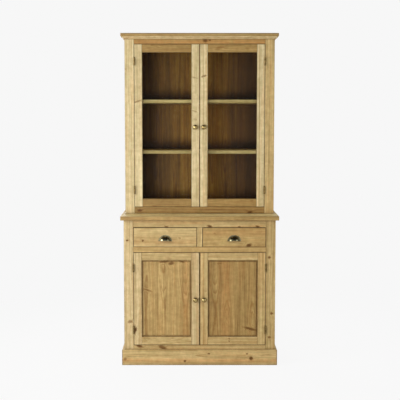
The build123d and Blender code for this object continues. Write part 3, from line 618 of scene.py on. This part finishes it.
# Flat nails hold the back panels in their rebates and to the floors
back_nails = bmesh.new()
for name, rows in (("hutch_back", ("hutch_floor",)), ("base_back", ("base_floor", "base_shelf"))):
    low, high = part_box(name)
    count = round((high.z - low.z) / NAIL_PITCH)
    for step in range(count):
        height = low.z + (step + 0.5) * (high.z - low.z) / count
        for edge in (low.x + NAIL_INSET, high.x - NAIL_INSET):
            put_head(back_nails, NAIL, (edge, high.y, height), (0, 1, 0))
    for row in rows:
        height = (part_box(row)[0].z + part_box(row)[1].z) / 2
        for place in FLOOR_NAIL_PLACES:
            put_head(back_nails, NAIL, (place, high.y, height), (0, 1, 0))
new_piece("back_panel_nails", back_nails, zinc, "carcass")


# Studio: a pale sweep, soft boxes at the front, beside the right side and behind, a dim ceiling

BACKGROUND = linear("f7f7f7")
CEILING = linear("3a3733")


def seen_directly(put):
    """1 for rays from the camera and for those that metal and glass send on."""
    path = put("LightPath")
    mirrored = put("Math", {0: path.outputs["Is Glossy Ray"], 1: path.outputs["Is Transmission Ray"]},
                   operation="MAXIMUM")
    return put("Math", {0: path.outputs["Is Camera Ray"], 1: mirrored}, operation="MAXIMUM")


def make_floor():
    """A wide pale floor that keeps a soft shadow under the cabinet and is evenly pale further off."""
    bm = bmesh.new()
    bmesh.ops.create_circle(bm, cap_ends=True, segments=96, radius=40.0)
    mesh = bpy.data.meshes.new("studio_floor")
    bm.to_mesh(mesh)
    bm.free()
    floor = bpy.data.objects.new("studio_floor", mesh)
    bpy.context.scene.collection.objects.link(floor)
    material, put = new_material("pale_floor")
    away = put("VectorMath", {0: put("TexCoord").outputs["Object"]}, operation="LENGTH").outputs["Value"]
    far = put("MapRange", {0: away, 1: 0.7, 2: 2.2}, interpolation_type="SMOOTHSTEP")
    glow_colour = blend(put, far, linear("fdfdfd"), BACKGROUND)
    glow_share = put("MapRange", {0: far, 3: 0.92, 4: 1.0})
    paint = put("BsdfDiffuse", {"Color": linear("d4d4d4")})
    glow = put("Emission", {"Color": glow_colour, "Strength": 1.0})
    share = put("Math", {0: seen_directly(put), 1: glow_share}, operation="MULTIPLY")
    put("OutputMaterial", {"Surface": put("MixShader", {0: share, 1: paint, 2: glow})})
    mesh.materials.append(material)


def make_world(strength):
    """Pale surroundings under a dim ceiling, weaker as a light than as they are seen."""
    world = bpy.data.worlds.new("studio")
    world.use_nodes = True
    world.node_tree.nodes.clear()
    put = partial(add, world.node_tree)
    height = put("SeparateXYZ", {0: put("TexCoord").outputs["Generated"]}).outputs[Z]
    overhead = put("MapRange", {0: height, 1: 0.3, 2: 0.65}, interpolation_type="SMOOTHSTEP")
    colour = blend(put, overhead, BACKGROUND, CEILING)
    light = put("Background", {"Color": linear("ffffff"), "Strength": strength})
    seen = put("Background", {"Color": colour, "Strength": 1.0})
    put("OutputWorld", {"Surface": put("MixShader", {0: seen_directly(put), 1: light, 2: seen})})
    bpy.context.scene.world = world


def soft_box(name, place, aim, size, power):
    """A rectangular soft lamp that faces a point."""
    lamp = bpy.data.lights.new(name, "AREA")
    lamp.shape = "RECTANGLE"
    lamp.size, lamp.size_y = size
    lamp.energy = power
    holder = bpy.data.objects.new(name, lamp)
    holder.location = place
    holder.rotation_euler = (Vector(aim) - Vector(place)).to_track_quat("-Z", "Y").to_euler()
    bpy.context.scene.collection.objects.link(holder)


make_floor()
make_world(0.34)
soft_box("window_left", (-2.8, -1.35, 1.85), (0, -0.1, 1.0), (1.5, 1.3), 60)
soft_box("window_right", (2.4, -1.8, 2.0), (0, -0.1, 1.0), (0.7, 0.9), 9)
soft_box("side_right", (3.2, 1.1, 1.5), (0, 0, 1.0), (1.2, 1.4), 26)
soft_box("behind", (-1.6, 3.6, 1.9), (0, 0, 1.0), (1.6, 1.6), 42)
soft_box("front_fill", (-1.5, -3.5, 0.8), (0, 0, 1.1), (1.4, 1.0), 42)

# Camera: place, tilt and shift were fitted to the cabinet's edges in the photograph

CAMERA_PLACE = (-0.046, BASE_FACE - 5.0, 1.465)
CAMERA_PITCH = radians(4.48)
LENS, SENSOR = 75.7, 36.0
SHIFT = (0.02, -0.03)

camera_data = bpy.data.cameras.new("camera")
camera_data.lens = LENS
camera_data.sensor_width = SENSOR
camera_data.shift_x, camera_data.shift_y = SHIFT
camera = bpy.data.objects.new("camera", camera_data)
camera.matrix_world = Matrix.Translation(CAMERA_PLACE) @ Matrix.Rotation(pi / 2 - CAMERA_PITCH, 4, "X")
bpy.context.scene.collection.objects.link(camera)
bpy.context.scene.camera = camera
bpy.context.scene.view_settings.view_transform = "Standard"
